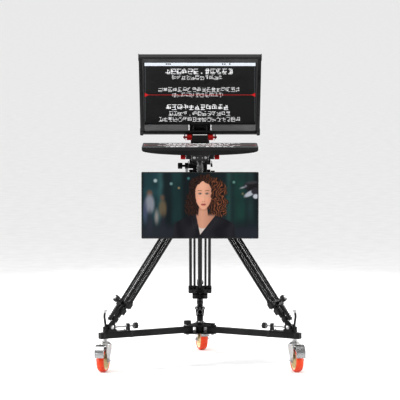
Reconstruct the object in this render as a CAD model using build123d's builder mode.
"""Studio teleprompter on a tripod with a wheeled dolly, at its real size in millimetres.

The floor is z = 0 and the tripod's vertical axis is x = y = 0. The side that the
presenter looks at faces -Y. From the floor up: three casters, a dolly with three arms,
three telescoping legs, a bowl, a fluid head, two rods that carry the upward-facing
prompter monitor, the tilting beam-splitter glass with its hood, and the camera plate,
and a drop tube in front with the presenter's own monitor.
"""

import os
from math import cos, hypot, radians, sin

from build123d import *

os.makedirs("parts", exist_ok=True)

# ---- Driving dimensions, mm ----
RUN = 0.05  # radial clearance of a running fit
GAP = 0.3  # clearance between bodies that slide or turn on each other

# The three legs, arms and casters, by the direction they point in, in degrees from +X
HEADINGS = {"left": 210, "right": 330, "rear": 90}

# Dolly
ARM_HEIGHT = 188
ARM_SIZE = 32
ARM_WALL = 3
ARM_START, ARM_END = 52, 600
CAP_LENGTH = 8
HUB_RADIUS = 96
HUB_PLATE = 6
PIVOT_REACH = 77  # the bolts that the arms fold on
ARM_TOP = ARM_HEIGHT + ARM_SIZE / 2
ARM_BOTTOM = ARM_HEIGHT - ARM_SIZE / 2
HUB_TOP = ARM_TOP + HUB_PLATE
SCREW_HEIGHT = 230  # the foot screws' axis

# Casters: the wheel trails towards the front, turned a little outwards
CASTER_REACH = 576
CASTER_TURN = {"left": -15, "right": 15, "rear": 15}
TRAIL = 36
WHEEL_RADIUS, WHEEL_WIDTH = 62.5, 40
CORE_RADIUS = 50
AXLE_RADIUS = 4
FORK_INSIDE, FORK_PLATE = 26, 3
FORK_TOP = 141
HOUSING_TOP = 156
PEDAL_PIVOT = (-58, 131)  # y and z from the caster's floor point

# Legs, from the pivot in the dolly's foot clamp to the pivot on the crown
FOOT_REACH, FOOT_HEIGHT = 545, 232
CROWN_REACH, CROWN_HEIGHT = 78, 862
LEG_LENGTH = hypot(FOOT_REACH - CROWN_REACH, CROWN_HEIGHT - FOOT_HEIGHT)
OUTER_TUBE, OUTER_SPREAD = 8, 52
INNER_TUBE, INNER_SPREAD = 6, 30
CENTRE_TUBE = 12
CLAMP_LOW, CLAMP_HIGH = 128, 156
KNOB_LEVEL = (CLAMP_LOW + CLAMP_HIGH) / 2
CASTING_LOW, CASTING_TALL = 84, 30  # the inner stage's lower casting
INNER_END = 690  # upper end of the slim tubes
YOKE_LOW = LEG_LENGTH - 50
TONGUE_HALF = 14
PIN_RADIUS = 5
OPEN_PIVOT_PLAY = 2.2  # the eye is this much larger than the crown's pin

# Crown and fluid head
BOWL_RADIUS = 50
CROWN_TOP = 905
TILT_HEIGHT = 1020
PLATFORM_TOP = 1088
CHEEK_IN, CHEEK_OUT = 38, 55
ROSETTE_HEIGHT = 1062

# Rail and rods
RAIL_LOW, RAIL_HIGH = PLATFORM_TOP + GAP, 1108
RAIL_HALF = 45
ROD_RADIUS, ROD_SPREAD, ROD_HEIGHT = 7.5, 30, 1126
BLOCK_TOP = ROD_HEIGHT + 12
TRAY_Y = -140
TRAY_KNOB_HEIGHT = 1122
ROD_FRONT, ROD_REAR = -310, 500

# Monitors: 27 inch, 16 to 9
PANEL_WIDTH, PANEL_HEIGHT = 597.7, 336.2
MONITOR_WIDTH, MONITOR_HEIGHT = 609, 346.2
CHIN, BROW = 6, 4
MONITOR_DEPTH = 43
EDGE_DEPTH = 19
MIDDLE = (CHIN - BROW) / 2  # the picture's centre above the housing's centre
BUTTON_PLACE = (-230, -140)
SHELL = 2.5
PROMPTER_CENTRE_Y, PROMPTER_TOP = -140, 1182
TALENT_FRONT_Y, TALENT_HEIGHT = -388, 883

# Beam-splitter glass
GLASS_TILT = 45
FRAME_WIDTH, FRAME_LENGTH = 637, 605
FRAME_BAR, FRAME_DEPTH = 15, 20
GLASS_THICK = 4
FRAME_FOOT = (0, 78, 1232)  # middle of the frame's lower edge
HINGE_Y, HINGE_HEIGHT = 80, 1210

# Hood and camera support
HOOD_REAR_Y, HOOD_REAR_HEIGHT = 300, 1455
HOOD_REAR_WIDTH, HOOD_REAR_TALL = 190, 150
HOOD_WALL = 2.5
RISER_FRONT, RISER_REAR = 345, 425
RISER_TOP = 1333
RISER_HALF, RISER_CHEEK = 50, 10
RISER_SLOT = 30  # width of the opening in each cheek
SLOT_LOW, SLOT_HIGH = 1170, 1300
PLATE_TOP = 1343
CAMERA_Y = 385
SCREW_RADIUS, SHANK_RADIUS = 3.175, 4

# Drop tube for the presenter's monitor
DROP_Y, DROP_RADIUS = -290, 16
DROP_LOW = 800
TALENT_HINGE_Y = -328


# ---- Helpers ----
def save(name, *solids, place=None):
    """Write the solids as one node, moved by place when it is given."""
    placed = [s.moved(place) if place else s for s in solids]
    whole = placed[0] if len(placed) == 1 else Compound(children=placed)
    whole.label = name
    export_step(whole, f"parts/{name}.step")


def around(heading, reach=0, height=0):
    """The place at a reach along a heading, turned so that its +X points outwards."""
    a = radians(heading)
    return Location((reach * cos(a), reach * sin(a), height), (0, 0, heading))


def caster_place(side):
    """The caster's floor point under its swivel axis, turned to its rest direction."""
    a = radians(HEADINGS[side])
    turn = CASTER_TURN[side]
    return Location((CASTER_REACH * cos(a), CASTER_REACH * sin(a), 0), (0, 0, turn))


def leg_place(heading):
    """The leg's frame: origin at its foot pivot, +Z up the leg, +Y on its outer face."""
    a = radians(heading)
    outward = Vector(cos(a), sin(a), 0)
    foot = outward * FOOT_REACH + Vector(0, 0, FOOT_HEIGHT)
    crown = outward * CROWN_REACH + Vector(0, 0, CROWN_HEIGHT)
    across = Vector(sin(a), -cos(a), 0)
    return Plane(origin=foot, x_dir=across, z_dir=crown - foot).location


def yz(x):
    """A sketch plane across X at x, whose sketch axes are Y and Z."""
    return Plane.YZ.offset(x)


def lobed_knob(radius, length, lobes, stem_radius, stem_length):
    """A star knob on +Z with its stem below z = 0."""
    with BuildPart() as knob:
        with BuildSketch():
            Circle(radius * 0.86)
            with PolarLocations(radius * 0.72, lobes):
                Circle(radius * 0.28)
        extrude(amount=length)
        top = knob.faces().sort_by(Axis.Z)[-1]
        fillet(top.edges(), length * 0.12)
        with BuildSketch():
            Circle(stem_radius)
        extrude(amount=-stem_length)
    return knob.part


# ---- Dolly ----
def dolly_hub():
    with BuildPart() as hub:
        for low in (ARM_BOTTOM - HUB_PLATE, ARM_TOP):
            with BuildSketch(Plane.XY.offset(low)):
                with PolarLocations(HUB_RADIUS - 22, 3, start_angle=90):
                    Circle(24)
                Circle(62)
                make_hull()
                with PolarLocations(PIVOT_REACH, 3, start_angle=90):
                    Circle(4 + RUN, mode=Mode.SUBTRACT)
            extrude(amount=HUB_PLATE)
        with BuildSketch(Plane.XY.offset(ARM_BOTTOM)):
            Circle(24)
        extrude(amount=ARM_SIZE)
        with BuildSketch(Plane.XY.offset(ARM_TOP + HUB_PLATE)):
            RegularPolygon(radius=15, side_count=6)
        extrude(amount=9)
    return hub.part


def dolly_arm():
    """A square tube along +X with a plastic cap in its outer end."""
    with BuildPart() as tube:
        with BuildSketch(yz(ARM_START)):
            RectangleRounded(ARM_SIZE, ARM_SIZE, 3)
            Rectangle(ARM_SIZE - 2 * ARM_WALL, ARM_SIZE - 2 * ARM_WALL, mode=Mode.SUBTRACT)
        extrude(amount=ARM_END - ARM_START)
    with BuildPart() as cap:
        with BuildSketch(yz(ARM_END)):
            RectangleRounded(ARM_SIZE, ARM_SIZE, 3)
        extrude(amount=CAP_LENGTH)
        fillet(cap.faces().sort_by(Axis.X)[-1].edges(), 2)
        with BuildSketch(yz(ARM_END)):
            Rectangle(ARM_SIZE - 2 * ARM_WALL - 0.4, ARM_SIZE - 2 * ARM_WALL - 0.4)
        extrude(amount=-18)
    return tube.part, cap.part


def foot_clamp():
    """The bracket on an arm that holds one foot, with the nut post for its screw."""
    with BuildPart() as clamp:
        with BuildSketch(Plane.XY.offset(ARM_TOP)):
            with Locations(((432 + 578) / 2, 0)):
                Rectangle(578 - 432, 46)
        extrude(amount=4)
        with BuildSketch(Plane.XY.offset(ARM_TOP + 4)):
            with Locations((FOOT_REACH, 21), (FOOT_REACH, -21)):
                Rectangle(50, 4)
            with Locations((439, 0)):
                Rectangle(12, 26)
            with Locations((574, 0)):
                Rectangle(6, 38)
        extrude(amount=14)
        with BuildSketch(Plane.XY.offset(ARM_TOP + 18)):
            with Locations((FOOT_REACH, 21), (FOOT_REACH, -21)):
                Rectangle(34, 4)
            with Locations((439, 0)):
                Rectangle(12, 20)
        extrude(amount=22)
        with BuildSketch(yz(400)):
            with Locations((0, SCREW_HEIGHT)):
                Circle(4 + RUN)
        extrude(amount=80, mode=Mode.SUBTRACT)
    return clamp.part


def foot_screw():
    """The screw that pushes the foot against its stop, with a ribbed knob."""
    with BuildPart() as screw:
        with BuildSketch(yz(405)):
            with Locations((0, SCREW_HEIGHT)):
                Circle(4)
        extrude(amount=512 - 405)
        with BuildSketch(yz(383)):
            with Locations((0, SCREW_HEIGHT)):
                Circle(13)
                with PolarLocations(12.5, 8):
                    Circle(3)
        extrude(amount=22)
        fillet(screw.faces().sort_by(Axis.X)[0].edges(), 1)
        with BuildSketch(yz(510)):
            with Locations((0, SCREW_HEIGHT)):
                Circle(8)
        extrude(amount=7)
    return screw.part


def caster_stem():
    with BuildPart() as stem:
        with BuildSketch(Plane.XZ):
            with BuildLine():
                Polyline(
                    (0, 145), (6, 145), (6, HOUSING_TOP + GAP), (8, HOUSING_TOP + GAP),
                    (8, ARM_BOTTOM - 8), (13, ARM_BOTTOM - 8), (13, ARM_BOTTOM), (0, ARM_BOTTOM),
                    close=True,
                )
            make_face()
        revolve(axis=Axis.Z)
    return stem.part


def caster_fork():
    """The swivelling fork: side plates, top plate and ball-race housing, and its axle."""
    with BuildPart() as fork:
        for x in (-FORK_INSIDE - FORK_PLATE, FORK_INSIDE):
            with BuildSketch(yz(x)):
                with BuildLine():
                    Polyline(
                        (30, FORK_TOP), (-66, FORK_TOP), (-68, FORK_TOP - 18),
                        (-TRAIL - 15, WHEEL_RADIUS - 4), (-TRAIL + 15, WHEEL_RADIUS - 4),
                        (28, FORK_TOP - 26), close=True,
                    )
                make_face()
                with Locations((-TRAIL, WHEEL_RADIUS)):
                    Circle(15)
                with Locations((-TRAIL, WHEEL_RADIUS)):
                    Circle(AXLE_RADIUS + RUN, mode=Mode.SUBTRACT)
                with Locations(PEDAL_PIVOT):
                    Circle(3 + RUN, mode=Mode.SUBTRACT)
            extrude(amount=FORK_PLATE)
        with BuildSketch(Plane.XY.offset(FORK_TOP - 4)):
            with Locations((0, -7)):
                Rectangle(2 * (FORK_INSIDE + FORK_PLATE), 74)
        extrude(amount=4)
        with BuildSketch(Plane.XZ):
            with BuildLine():
                Polyline(
                    (0, FORK_TOP - 4), (24, FORK_TOP - 4), (30, FORK_TOP + 1), (30, FORK_TOP + 7),
                    (25, FORK_TOP + 9), (25, FORK_TOP + 12), (18, HOUSING_TOP), (0, HOUSING_TOP),
                    close=True,
                )
            make_face()
        revolve(axis=Axis.Z)
        with BuildSketch(Plane.XY.offset(144)):
            Circle(6 + RUN)
        extrude(amount=20, mode=Mode.SUBTRACT)
    outside = FORK_INSIDE + FORK_PLATE + 0.1
    with BuildPart() as axle:
        with BuildSketch(yz(-outside)):
            with Locations((-TRAIL, WHEEL_RADIUS)):
                Circle(AXLE_RADIUS)
        extrude(amount=2 * outside)
        for start, amount in ((-outside, -6), (outside, 6)):
            with BuildSketch(yz(start)):
                with Locations((-TRAIL, WHEEL_RADIUS)):
                    RegularPolygon(radius=8, side_count=6)
            extrude(amount=amount)
    return fork.part, axle.part


def caster_wheel():
    """The wheel about its axle: a moulded core with a web, and a rounded tyre on it."""
    half = WHEEL_WIDTH / 2
    with BuildPart() as core:
        with BuildSketch(Plane.XZ):
            with BuildLine():
                Polyline(
                    (AXLE_RADIUS + RUN, -23), (14, -23), (17, -8), (40, -6), (42, -17),
                    (CORE_RADIUS, -17), (CORE_RADIUS, 17), (42, 17), (40, 6), (17, 8), (14, 23),
                    (AXLE_RADIUS + RUN, 23), close=True,
                )
            make_face()
        revolve(axis=Axis.Z)
    with BuildPart() as tyre:
        with BuildSketch(Plane.XZ):
            with BuildLine():
                edge = Polyline((WHEEL_RADIUS - 7, -half), (CORE_RADIUS, -half + 2),
                                (CORE_RADIUS, half - 2), (WHEEL_RADIUS - 7, half))
                ThreePointArc(edge @ 1, (WHEEL_RADIUS, 0), edge @ 0)
            make_face()
        revolve(axis=Axis.Z)
    upright = Location((0, -TRAIL, WHEEL_RADIUS), (0, 90, 0))
    return core.part.moved(upright), tyre.part.moved(upright)


def caster_pedal():
    """The brake pedal: a bent plate over the front of the wheel, on its own pin."""
    y, z = PEDAL_PIVOT
    with BuildPart() as pedal:
        with BuildSketch(yz(-FORK_INSIDE + 1)):
            with BuildLine():
                Polyline(
                    (y + 2, z + 4), (y - 46, z - 10), (y - 51, z - 15), (y - 51, z - 39),
                    (y - 48, z - 39), (y - 48, z - 17), (y - 45, z - 13.5), (y + 2, z),
                    close=True,
                )
            make_face()
            with Locations((y, z)):
                Circle(5)
        extrude(amount=2 * FORK_INSIDE - 2)
        with BuildSketch(yz(-FORK_INSIDE - 4)):
            with Locations((y, z)):
                Circle(3)
        extrude(amount=2 * FORK_INSIDE + 8)
    return pedal.part


# ---- Legs, in the leg's own frame ----
def leg_upper():
    """The outer stage: twin tubes, the lower clamp casting and the top yoke with its eye."""
    with BuildPart() as stage:
        with BuildSketch(Plane.XY.offset(CLAMP_HIGH)):
            with Locations((OUTER_SPREAD, 0), (-OUTER_SPREAD, 0)):
                Circle(OUTER_TUBE)
        extrude(amount=YOKE_LOW - CLAMP_HIGH)
        with BuildSketch(Plane.XY.offset(CLAMP_LOW)):
            RectangleRounded(2 * OUTER_SPREAD + 24, 32, 8)
        extrude(amount=CLAMP_HIGH - CLAMP_LOW)
        with BuildSketch(Plane.XY.offset(CLAMP_LOW)):
            with Locations((OUTER_SPREAD, 0), (-OUTER_SPREAD, 0)):
                Circle(OUTER_TUBE + 3)
        extrude(amount=-6)
        with BuildSketch(Plane.XY.offset(CLAMP_LOW)):
            Circle(CENTRE_TUBE + GAP)
            with Locations((INNER_SPREAD, 0), (-INNER_SPREAD, 0)):
                Circle(INNER_TUBE + GAP)
        extrude(amount=CLAMP_HIGH - CLAMP_LOW, mode=Mode.SUBTRACT)
        with BuildSketch(Plane.XY.offset(YOKE_LOW)):
            RectangleRounded(2 * OUTER_SPREAD + 22, 26, 8)
        extrude(amount=26)
        with BuildSketch(yz(-TONGUE_HALF)):
            with Locations((0, LEG_LENGTH)):
                Circle(13)
            with Locations((0, LEG_LENGTH - 16)):
                Rectangle(24, 32)
        extrude(amount=2 * TONGUE_HALF)
        with BuildSketch(yz(-TONGUE_HALF)):
            with Locations((0, LEG_LENGTH)):
                Circle(PIN_RADIUS + OPEN_PIVOT_PLAY)
        extrude(amount=2 * TONGUE_HALF, mode=Mode.SUBTRACT)
        with BuildSketch(Plane.XZ.offset(-16)):
            with Locations((0, KNOB_LEVEL)):
                Circle(9)
        extrude(amount=-8)
        with BuildSketch(Plane.XZ.offset(-12.5)):
            with Locations((0, KNOB_LEVEL)):
                Circle(3.5 + RUN)
        extrude(amount=-14, mode=Mode.SUBTRACT)
    return stage.part


def leg_lower():
    """The inner stage: slim tubes, the centre tube, their castings and the spiked foot."""
    with BuildPart() as stage:
        with BuildSketch(Plane.XY.offset(CASTING_LOW + 20)):
            with Locations((INNER_SPREAD, 0), (-INNER_SPREAD, 0)):
                Circle(INNER_TUBE)
        extrude(amount=INNER_END - CASTING_LOW - 20)
        with BuildSketch(Plane.XY.offset(10)):
            Circle(CENTRE_TUBE)
        extrude(amount=INNER_END - 10)
        for low, half, deep, tall in (
            (CASTING_LOW, 42, 14, CASTING_TALL), (INNER_END - 14, 38, 11, 18),
        ):
            with BuildSketch(Plane.XY.offset(low)):
                RectangleRounded(2 * half, 2 * deep, 6)
            extrude(amount=tall)
        with BuildSketch(Plane.XY.offset(66)):
            Circle(17)
        extrude(amount=18)
        with BuildSketch(Plane.XY.offset(-4)):
            Circle(15)
        extrude(amount=34)
        with Locations((0, 0, -4)):
            Sphere(15)
    with BuildPart() as pad:
        with BuildSketch(Plane.XY.offset(26)):
            with Locations((0, 27)):
                RectangleRounded(26, 12, 4)
        extrude(amount=92)
        with BuildSketch(Plane.XY.offset(66)):
            with Locations((0, 19.5)):
                Rectangle(16, 4.5)
        extrude(amount=16)
    return stage.part, pad.part


def leg_knob():
    """The star knob that locks the outer stage, standing out from the leg's outer face."""
    knob = lobed_knob(19, 20, 5, 3.5, 33)
    return knob.moved(Location((0, 48, KNOB_LEVEL), (-90, 0, 0)))


# ---- Crown and fluid head ----
def tripod_crown():
    """The bowl casting with three pairs of ears, and the pins between them."""
    with BuildPart() as crown:
        with BuildSketch(Plane.XZ):
            with BuildLine():
                Polyline((9, 846), (9, CROWN_TOP), (66, CROWN_TOP), (66, 892), (58, 884),
                         (52, 846), close=True)
            make_face()
        revolve(axis=Axis.Z)
        with PolarLocations(0, 3, start_angle=90):
            with Locations((68, TONGUE_HALF + 6, 863), (68, -TONGUE_HALF - 6, 863)):
                Box(52, 10, 32)
        with Locations((0, 0, CROWN_TOP)):
            Sphere(BOWL_RADIUS, mode=Mode.SUBTRACT)
    pins = []
    for heading in HEADINGS.values():
        with BuildPart() as pin:
            with BuildSketch(Plane.XZ.offset(-TONGUE_HALF - 1)):
                with Locations((CROWN_REACH, CROWN_HEIGHT)):
                    Circle(PIN_RADIUS)
            extrude(amount=2 * TONGUE_HALF + 2)
        pins.append(pin.part.moved(around(heading)))
    return [crown.part, *pins]


def head_base():
    """The half ball that sits in the bowl, its flange and the tie-down stud."""
    with BuildPart() as base:
        with Locations((0, 0, CROWN_TOP + GAP)):
            Sphere(BOWL_RADIUS - GAP)
        with Locations((0, 0, CROWN_TOP + 60)):
            Box(140, 140, 120 - 2 * GAP, mode=Mode.SUBTRACT)
        with BuildSketch(Plane.XY.offset(CROWN_TOP + GAP)):
            Circle(58)
        extrude(amount=12)
        with BuildSketch(Plane.XY.offset(812)):
            Circle(8)
        extrude(amount=60)
    return base.part


def bowl_knob():
    """The knob under the bowl that pulls the half ball down."""
    with BuildPart() as knob:
        with BuildSketch(Plane.XY.offset(796)):
            Circle(24)
            with PolarLocations(23, 6):
                Circle(6)
        extrude(amount=30)
        fillet(knob.faces().sort_by(Axis.Z)[0].edges(), 2)
        with BuildSketch(Plane.XY.offset(826)):
            Circle(30)
        extrude(amount=19.7)
        with BuildSketch(Plane.XY.offset(811)):
            Circle(8 + RUN)
        extrude(amount=40, mode=Mode.SUBTRACT)
    return knob.part


def head_body():
    """The panning body: base drum, block and the two cheeks that hold the tilt drum."""
    with BuildPart() as body:
        with BuildSketch(Plane.XY.offset(CROWN_TOP + 12 + 2 * GAP)):
            Circle(50)
        extrude(amount=32)
        with BuildSketch(Plane.XY.offset(946)):
            RectangleRounded(2 * CHEEK_OUT, 92, 12)
        extrude(amount=38)
        for x in (-CHEEK_OUT, CHEEK_IN):
            with BuildSketch(yz(x)):
                with Locations((0, TILT_HEIGHT)):
                    Circle(22)
                with Locations((0, (984 + TILT_HEIGHT) / 2)):
                    Rectangle(60, TILT_HEIGHT - 984)
                with Locations((0, TILT_HEIGHT)):
                    Circle(8 + RUN, mode=Mode.SUBTRACT)
            extrude(amount=CHEEK_OUT - CHEEK_IN)
    return body.part


def head_platform():
    """The tilting part: drum, web, top plate with rail jaws, and the handle's rosette."""
    with BuildPart() as top:
        with BuildSketch(yz(-CHEEK_IN + GAP)):
            with Locations((0, TILT_HEIGHT)):
                Circle(29)
            with Locations((0, 1050)):
                Rectangle(46, 56)
        extrude(amount=2 * (CHEEK_IN - GAP))
        with BuildSketch(yz(-CHEEK_OUT + 2)):
            with Locations((0, TILT_HEIGHT)):
                Circle(8)
        extrude(amount=2 * CHEEK_OUT - 4)
        with BuildSketch(Plane.XY.offset(PLATFORM_TOP - 14)):
            RectangleRounded(2 * (RAIL_HALF + 11), 150, 6)
        extrude(amount=14)
        with BuildSketch(Plane.XY.offset(PLATFORM_TOP)):
            for side in (-1, 1):
                with Locations((side * (RAIL_HALF + GAP + 5), 0)):
                    Rectangle(10, 120)
        extrude(amount=12)
        with BuildSketch(yz(-62)):
            with Locations((0, ROSETTE_HEIGHT)):
                Circle(14)
        extrude(amount=30)
    return top.part


def tilt_lock_knob():
    """The tilt brake's knob on the right-hand cheek."""
    knob = lobed_knob(16, 22, 6, 5, 1.6)
    return knob.moved(Location((CHEEK_OUT + 2, 0, TILT_HEIGHT), (0, 90, 0)))


def pan_bar():
    """The operator's handle: rosette, clamp knob, tube and grip, sloping to the rear."""
    slope = -25
    with BuildPart() as bar:
        with BuildSketch(yz(-62 - GAP)):
            with Locations((0, ROSETTE_HEIGHT)):
                Circle(16)
        extrude(amount=-18)
        with BuildSketch(yz(-80)):
            with Locations((0, ROSETTE_HEIGHT)):
                Circle(6)
        extrude(amount=-14)
        with BuildSketch(yz(-94)):
            with Locations((0, ROSETTE_HEIGHT)):
                Circle(13)
                with PolarLocations(12, 6):
                    Circle(4)
        extrude(amount=-24)
        tube_plane = Plane(
            origin=(-71, 0, ROSETTE_HEIGHT), x_dir=(1, 0, 0),
            z_dir=(0, cos(radians(slope)), sin(radians(slope))),
        )
        with BuildSketch(tube_plane):
            Circle(8)
        extrude(amount=390)
        with BuildSketch(tube_plane.offset(270)):
            Circle(13)
        extrude(amount=122)
        fillet(bar.faces().sort_by(Axis.Y)[-1].edges(), 4)
    return bar.part


# ---- Rail, rods and blocks ----
def rod_bores(radius):
    """The two long cylinders that cut the rod holes through a block."""
    with BuildPart() as bores:
        with BuildSketch(Plane.XZ.offset(-600)):
            with Locations((ROD_SPREAD, ROD_HEIGHT), (-ROD_SPREAD, ROD_HEIGHT)):
                Circle(radius)
        extrude(amount=1200)
    return bores.part


def base_rail():
    """The long rail on the head, hollowed lengthwise, with chamfered edges."""
    with BuildPart() as rail:
        with BuildSketch(Plane.XZ.offset(-400)):
            with Locations((0, (RAIL_LOW + RAIL_HIGH) / 2)):
                Rectangle(2 * RAIL_HALF, RAIL_HIGH - RAIL_LOW)
            with Locations((24, RAIL_LOW + 9), (-24, RAIL_LOW + 9)):
                RectangleRounded(30, 9, 2, mode=Mode.SUBTRACT)
        extrude(amount=670)
        chamfer(rail.edges().filter_by(Axis.Y).group_by(Axis.Z)[-1], 1.5)
    return rail.part


def rods():
    with BuildPart() as pair:
        with BuildSketch(Plane.XZ.offset(-ROD_REAR)):
            with Locations((ROD_SPREAD, ROD_HEIGHT), (-ROD_SPREAD, ROD_HEIGHT)):
                Circle(ROD_RADIUS)
        extrude(amount=ROD_REAR - ROD_FRONT)
        chamfer(pair.faces().sort_by(Axis.Y)[-2:].edges(), 1)
    return pair.solids()


def rod_block(middle):
    """A block on the rail that grips both rods, centred at y = middle."""
    with BuildPart() as block:
        with BuildSketch(Plane.XY.offset(RAIL_HIGH)):
            with Locations((0, middle)):
                RectangleRounded(88, 24, 3)
        extrude(amount=BLOCK_TOP - RAIL_HIGH)
        add(rod_bores(ROD_RADIUS + RUN), mode=Mode.SUBTRACT)
    return block.part


# ---- Monitor tray ----
def monitor_tray():
    """The carriage on the rods with the plate that the prompter monitor is screwed to."""
    with BuildPart() as tray:
        with BuildSketch(Plane.XY.offset(RAIL_HIGH + 1)):
            with Locations((0, TRAY_Y)):
                RectangleRounded(150, 60, 6)
        extrude(amount=ROD_HEIGHT + ROD_RADIUS + 0.5 - RAIL_HIGH - 1)
        add(rod_bores(ROD_RADIUS + RUN), mode=Mode.SUBTRACT)
        with BuildSketch(Plane.XY.offset(ROD_HEIGHT + ROD_RADIUS + 0.5)):
            with Locations((0, TRAY_Y)):
                RectangleRounded(124, 124, 8)
        extrude(amount=PROMPTER_TOP - MONITOR_DEPTH - GAP - ROD_HEIGHT - ROD_RADIUS - 0.5)
        for start in (-80, 45):
            with BuildSketch(yz(start)):
                with Locations((TRAY_Y, TRAY_KNOB_HEIGHT)):
                    Circle(4 + RUN)
            extrude(amount=35, mode=Mode.SUBTRACT)
    return tray.part


def tray_knob():
    """A knurled clamp knob on +X with its stem behind it."""
    with BuildPart() as knob:
        with BuildSketch(yz(77)):
            with Locations((0, 0)):
                Circle(16)
                with PolarLocations(16, 24):
                    Circle(0.9, mode=Mode.SUBTRACT)
        extrude(amount=24)
        with BuildSketch(yz(46)):
            Circle(4)
        extrude(amount=31)
    return knob.part


def glass_knobs():
    """Two knurled knobs on the cross shaft that the glass tilts on."""
    with BuildPart() as pair:
        with BuildSketch(yz(-90)):
            with Locations((HINGE_Y, HINGE_HEIGHT)):
                Circle(PIN_RADIUS)
        extrude(amount=180)
        for low in (-69, 44):
            with BuildSketch(yz(low)):
                with Locations((HINGE_Y, HINGE_HEIGHT)):
                    Circle(16)
                    with PolarLocations(16, 24):
                        Circle(0.9, mode=Mode.SUBTRACT)
            extrude(amount=25)
    return pair.part


# ---- Monitors, in their own frame: the screen faces +Z and its top edge is on +Y ----
def monitor_bezel():
    with BuildPart() as bezel:
        with BuildSketch():
            RectangleRounded(MONITOR_WIDTH, MONITOR_HEIGHT, 4)
        extrude(amount=-18)
        with BuildSketch():
            with Locations((0, MIDDLE)):
                Rectangle(PANEL_WIDTH, PANEL_HEIGHT)
        extrude(amount=-18, mode=Mode.SUBTRACT)
        with BuildSketch(Plane.XY.offset(-2)):
            Rectangle(MONITOR_WIDTH - 4, MONITOR_HEIGHT - 4)
        extrude(amount=-16, mode=Mode.SUBTRACT)
        fillet(bezel.edges().group_by(Axis.Z)[-1].sort_by(SortBy.LENGTH)[-4:], 0.8)
    return bezel.part


def monitor_screen():
    """The display module: a slab behind the bezel's lip."""
    with BuildPart() as screen:
        with BuildSketch(Plane.XY.offset(-2.2)):
            Rectangle(MONITOR_WIDTH - 5, MONITOR_HEIGHT - 5)
        extrude(amount=-8)
    return screen.part


def back_outline(half_width, edge, depth):
    """The housing's cross-section: a rectangle with an elliptical belly behind it."""
    with BuildSketch() as outline:
        with BuildLine():
            Polyline((half_width, -edge), (half_width, -10.5), (-half_width, -10.5),
                     (-half_width, -edge))
            EllipticalCenterArc(
                center=(0, -edge), x_radius=half_width, y_radius=depth - edge,
                start_angle=180, arc_size=180,
            )
        make_face()
    return outline.sketch


def monitor_back():
    """The rear shell with its belly and the hole for the power button."""
    half, tall = (MONITOR_WIDTH - 5) / 2, MONITOR_HEIGHT - 5
    with BuildPart() as back:
        with BuildSketch(Plane.XZ.offset(-tall / 2)):
            add(back_outline(half, EDGE_DEPTH, MONITOR_DEPTH))
        extrude(amount=tall)
        with BuildSketch(Plane.XZ.offset(-tall / 2 + SHELL)):
            add(back_outline(half - SHELL, EDGE_DEPTH - SHELL, MONITOR_DEPTH - SHELL))
        extrude(amount=tall - 2 * SHELL, mode=Mode.SUBTRACT)
        with BuildSketch(Plane.XY.offset(-60)):
            with Locations(BUTTON_PLACE):
                Circle(6.3)
        extrude(amount=40, mode=Mode.SUBTRACT)
    return back.part


def monitor_button():
    """The power button: a capped peg through the rear shell."""
    with BuildPart() as button:
        with BuildSketch(Plane.XY.offset(-38)):
            with Locations(BUTTON_PLACE):
                Circle(6)
        extrude(amount=18)
        fillet(button.faces().sort_by(Axis.Z)[0].edges(), 1.5)
    return button.part


# ---- Beam-splitter glass ----
def glass_plane(rise=0):
    """The plane of the glass: X across, Y up the glass, Z down towards the presenter."""
    a = radians(GLASS_TILT)
    plane = Plane(origin=FRAME_FOOT, x_dir=(1, 0, 0), z_dir=(0, -cos(a), -sin(a)))
    return plane.offset(rise)


def glass_frame():
    """Four grooved bars as one ring, with the two ears it tilts on."""
    half = FRAME_DEPTH / 2
    middle = FRAME_LENGTH / 2
    inner_w, inner_l = FRAME_WIDTH - 2 * FRAME_BAR, FRAME_LENGTH - 2 * FRAME_BAR
    with BuildPart() as ring:
        with BuildSketch(glass_plane(-half)):
            with Locations((0, middle)):
                RectangleRounded(FRAME_WIDTH, FRAME_LENGTH, 3)
                Rectangle(inner_w, inner_l, mode=Mode.SUBTRACT)
            for side in (-1, 1):
                with Locations((side * (FRAME_WIDTH - FRAME_BAR) / 2, 0)):
                    RectangleRounded(FRAME_BAR, 16, 2)
        extrude(amount=FRAME_DEPTH)
        with BuildSketch(glass_plane(-GLASS_THICK / 2 - GAP)):
            with Locations((0, middle)):
                Rectangle(inner_w + 10, inner_l + 10)
        extrude(amount=GLASS_THICK + 2 * GAP, mode=Mode.SUBTRACT)
        for x in (-85, 80):
            with BuildSketch(yz(x)):
                with Locations((HINGE_Y, HINGE_HEIGHT)):
                    Circle(11)
                with Locations((75.9, 1234.1)):
                    Circle(6)
                make_hull()
                with Locations((HINGE_Y, HINGE_HEIGHT)):
                    Circle(PIN_RADIUS + RUN, mode=Mode.SUBTRACT)
            extrude(amount=5)
    return ring.part


def beam_splitter():
    with BuildPart() as glass:
        with BuildSketch(glass_plane(-GLASS_THICK / 2)):
            with Locations((0, FRAME_LENGTH / 2)):
                Rectangle(FRAME_WIDTH - 2 * FRAME_BAR + 9, FRAME_LENGTH - 2 * FRAME_BAR + 9)
        extrude(amount=GLASS_THICK)
    return glass.part


def hinge_block():
    """The post on the rail that the glass tilts on."""
    with BuildPart() as block:
        with BuildSketch(Plane.XY.offset(RAIL_HIGH)):
            with Locations((0, HINGE_Y)):
                Rectangle(84, 24)
        extrude(amount=HINGE_HEIGHT + 10.5 - RAIL_HIGH)
        add(rod_bores(ROD_RADIUS + RUN), mode=Mode.SUBTRACT)
        with BuildSketch(yz(-50)):
            with Locations((HINGE_Y, HINGE_HEIGHT)):
                Circle(PIN_RADIUS + RUN)
        extrude(amount=100, mode=Mode.SUBTRACT)
    return block.part


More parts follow.
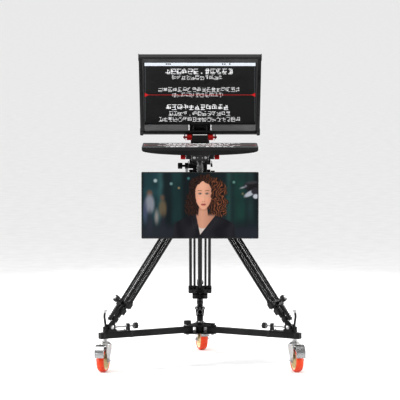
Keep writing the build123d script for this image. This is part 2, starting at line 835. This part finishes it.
def hood():
    """The light-tight hood: a tapering wall from the frame to the lens opening."""
    rear = Plane(origin=(0, HOOD_REAR_Y, HOOD_REAR_HEIGHT), x_dir=(1, 0, 0), z_dir=(0, -1, 0))
    with BuildPart() as shell:
        for thinner, mode in ((0, Mode.ADD), (2 * HOOD_WALL, Mode.SUBTRACT)):
            with BuildSketch(glass_plane(-FRAME_DEPTH / 2)):
                with Locations((0, FRAME_LENGTH / 2)):
                    Rectangle(FRAME_WIDTH - 24 - thinner, FRAME_LENGTH - 24 - thinner)
            with BuildSketch(rear):
                Rectangle(HOOD_REAR_WIDTH - thinner, HOOD_REAR_TALL - thinner)
            loft(ruled=True, mode=mode)
    return shell.part


# ---- Camera support ----
def riser_bar(x, y, width, low, high):
    """One straight bar of the riser's cheeks."""
    with BuildPart() as bar:
        with BuildSketch(Plane.XY.offset(low)):
            with Locations((x, y)):
                Rectangle(RISER_CHEEK, width)
        extrude(amount=high - low)
    return bar.part


def camera_riser():
    """The tall carriage at the rear of the rods: foot block, two cheeks of bars and a top."""
    length = RISER_REAR - RISER_FRONT
    post = (length - RISER_SLOT) / 2
    foot_low, foot_high = RAIL_HIGH + 0.5, RAIL_HIGH + 36.5
    plate_low = RISER_TOP - 8
    with BuildPart() as foot:
        with BuildSketch(Plane.XY.offset(foot_low)):
            with Locations((0, CAMERA_Y)):
                RectangleRounded(2 * RISER_HALF, length, 4)
        extrude(amount=foot_high - foot_low)
        add(rod_bores(ROD_RADIUS + RUN), mode=Mode.SUBTRACT)
    with BuildPart() as top:
        with BuildSketch(Plane.XY.offset(plate_low)):
            with Locations((0, CAMERA_Y)):
                RectangleRounded(2 * RISER_HALF, length, 4)
                Circle(SHANK_RADIUS + RUN, mode=Mode.SUBTRACT)
        extrude(amount=RISER_TOP - plate_low)
    bars = []
    for x in (RISER_HALF - RISER_CHEEK / 2, RISER_CHEEK / 2 - RISER_HALF):
        bars.append(riser_bar(x, RISER_FRONT + post / 2, post, foot_high, plate_low))
        bars.append(riser_bar(x, RISER_REAR - post / 2, post, foot_high, plate_low))
        bars.append(riser_bar(x, CAMERA_Y, RISER_SLOT, foot_high, SLOT_LOW))
        bars.append(riser_bar(x, CAMERA_Y, RISER_SLOT, SLOT_HIGH, plate_low))
    return foot.part, top.part, *bars


def camera_plate():
    """The flat plate that the camera stands on, with a hole for its screw."""
    with BuildPart() as plate:
        with BuildSketch(Plane.XY.offset(RISER_TOP)):
            with Locations((0, CAMERA_Y)):
                RectangleRounded(100, 110, 6)
                Circle(SHANK_RADIUS + RUN, mode=Mode.SUBTRACT)
        extrude(amount=PLATE_TOP - RISER_TOP)
        chamfer(plate.faces().sort_by(Axis.Z)[-1].outer_wire().edges(), 1)
    return plate.part


def camera_screw():
    """The quarter-inch camera screw with its knob under the riser's top."""
    knob_top = RISER_TOP - 8 - GAP
    with BuildPart() as screw:
        with BuildSketch(Plane.XY.offset(knob_top - 18)):
            with Locations((0, CAMERA_Y)):
                Circle(13)
                with PolarLocations(12.5, 8):
                    Circle(3)
        extrude(amount=18)
        with BuildSketch(Plane.XY.offset(knob_top)):
            with Locations((0, CAMERA_Y)):
                Circle(SHANK_RADIUS)
        extrude(amount=PLATE_TOP - knob_top)
        with BuildSketch(Plane.XY.offset(PLATE_TOP)):
            with Locations((0, CAMERA_Y)):
                Circle(SCREW_RADIUS)
        extrude(amount=8)
    return screw.part


# ---- Presenter's monitor support ----
def drop_tube():
    """The vertical tube with the block that grips the front ends of the rods."""
    with BuildPart() as tube:
        with BuildSketch(Plane.XY.offset(RAIL_HIGH + 4)):
            with Locations((0, DROP_Y)):
                RectangleRounded(92, 40, 4)
        extrude(amount=BLOCK_TOP - RAIL_HIGH - 4)
        add(rod_bores(ROD_RADIUS + RUN), mode=Mode.SUBTRACT)
        with BuildSketch(Plane.XY.offset(DROP_LOW)):
            with Locations((0, DROP_Y)):
                Circle(DROP_RADIUS)
        extrude(amount=RAIL_HIGH + 4 - DROP_LOW)
    return tube.part


def talent_carriage():
    """The collar that slides on the drop tube, with its forward hinge lug and knob."""
    with BuildPart() as collar:
        with BuildSketch(Plane.XY.offset(TALENT_HEIGHT - 25)):
            with Locations((0, DROP_Y)):
                RectangleRounded(56, 52, 8)
        extrude(amount=50)
        with BuildSketch(yz(-9)):
            with Locations((TALENT_HINGE_Y, TALENT_HEIGHT)):
                Circle(10)
            with Locations((TALENT_HINGE_Y + 8, TALENT_HEIGHT)):
                Rectangle(16, 20)
        extrude(amount=18)
        with BuildSketch(Plane.XZ.offset(-(DROP_Y + 26))):
            with Locations((0, TALENT_HEIGHT)):
                Circle(15)
        extrude(amount=-18)
        with BuildSketch(Plane.XY.offset(TALENT_HEIGHT - 25)):
            with Locations((0, DROP_Y)):
                Circle(DROP_RADIUS + RUN)
        extrude(amount=50, mode=Mode.SUBTRACT)
        with BuildSketch(yz(-9)):
            with Locations((TALENT_HINGE_Y, TALENT_HEIGHT)):
                Circle(4 + RUN)
        extrude(amount=18, mode=Mode.SUBTRACT)
    return collar.part


def talent_tilt_head():
    """The clevis and plate that the presenter's monitor is screwed to."""
    plate_back = TALENT_FRONT_Y + MONITOR_DEPTH + GAP
    with BuildPart() as head:
        with BuildSketch(Plane.XZ.offset(-plate_back)):
            with Locations((0, TALENT_HEIGHT)):
                RectangleRounded(124, 124, 8)
        extrude(amount=-3)
        for x in (-17, 9.3):
            with BuildSketch(yz(x)):
                with Locations((TALENT_HINGE_Y, TALENT_HEIGHT)):
                    Circle(10)
                with Locations(((plate_back + TALENT_HINGE_Y) / 2, TALENT_HEIGHT)):
                    Rectangle(TALENT_HINGE_Y - plate_back, 20)
            extrude(amount=7.7)
        with BuildSketch(yz(-22)):
            with Locations((TALENT_HINGE_Y, TALENT_HEIGHT)):
                Circle(4)
        extrude(amount=44)
    return head.part


# ---- Write every node ----
save("dolly_hub", dolly_hub())
save("foot_clamps", *(foot_clamp().moved(around(h)) for h in HEADINGS.values()))
save("caster_stems", *(caster_stem().moved(around(h, CASTER_REACH)) for h in HEADINGS.values()))
arm_solids = dolly_arm()
screw_solid = foot_screw()
fork_solids = caster_fork()
wheel_solids = caster_wheel()
pedal_solid = caster_pedal()
upper_solid = leg_upper()
lower_solids = leg_lower()
knob_solid = leg_knob()
for side, heading in HEADINGS.items():
    save(f"dolly_arm_{side}", *arm_solids, place=around(heading, 0, ARM_HEIGHT))
    save(f"foot_screw_{side}", screw_solid, place=around(heading))
    save(f"caster_fork_{side}", *fork_solids, place=caster_place(side))
    save(f"caster_wheel_{side}", *wheel_solids, place=caster_place(side))
    save(f"caster_pedal_{side}", pedal_solid, place=caster_place(side))
    save(f"leg_upper_{side}", upper_solid, place=leg_place(heading))
    save(f"leg_lower_{side}", *lower_solids, place=leg_place(heading))
    save(f"leg_knob_{side}", knob_solid, place=leg_place(heading))

save("arm_knob_left", lobed_knob(21, 20, 6, 4, 12),
     place=around(HEADINGS["left"], PIVOT_REACH, HUB_TOP + 6))
with BuildPart() as arm_lever:
    with BuildSketch(Plane.XY.offset(4)):
        with Locations((-20, 0)):
            SlotOverall(70, 20)
    extrude(amount=7)
    with BuildSketch():
        Circle(9)
    extrude(amount=4)
    with BuildSketch():
        Circle(4)
    extrude(amount=-6)
save("arm_lever_right", arm_lever.part,
     place=around(HEADINGS["right"], PIVOT_REACH, HUB_TOP + GAP))

save("tripod_crown", *tripod_crown())
save("head_base", head_base())
save("bowl_knob", bowl_knob())
save("head_body", head_body())
save("head_platform", head_platform())
save("tilt_lock_knob", tilt_lock_knob())
save("pan_bar", pan_bar())

save("base_rail", base_rail(), rod_block(-238), rod_block(225))
save("rods", *rods())
save("monitor_tray", monitor_tray())
save("tray_knob_right", tray_knob(), place=Location((0, TRAY_Y, TRAY_KNOB_HEIGHT)))
save("tray_knob_left", tray_knob(),
     place=Location((0, TRAY_Y, TRAY_KNOB_HEIGHT), (0, 0, 180)))

prompter_place = Plane(
    origin=(0, PROMPTER_CENTRE_Y, PROMPTER_TOP), x_dir=(-1, 0, 0), z_dir=(0, 0, 1)
).location
talent_place = Plane(
    origin=(0, TALENT_FRONT_Y, TALENT_HEIGHT), x_dir=(1, 0, 0), z_dir=(0, -1, 0)
).location
for monitor, place in (("prompter", prompter_place), ("talent", talent_place)):
    save(f"{monitor}_bezel", monitor_bezel(), place=place)
    save(f"{monitor}_screen", monitor_screen(), place=place)
    save(f"{monitor}_back_cover", monitor_back(), place=place)
    save(f"{monitor}_button", monitor_button(), place=place)

save("glass_hinge_block", hinge_block())
save("glass_knobs", glass_knobs())
save("glass_frame", glass_frame())
save("beam_splitter", beam_splitter())
save("hood", hood())

save("camera_riser", *camera_riser())
save("camera_plate", camera_plate())
save("camera_screw", camera_screw())

save("drop_tube", drop_tube())
save("talent_carriage", talent_carriage())
save("talent_tilt_head", talent_tilt_head())
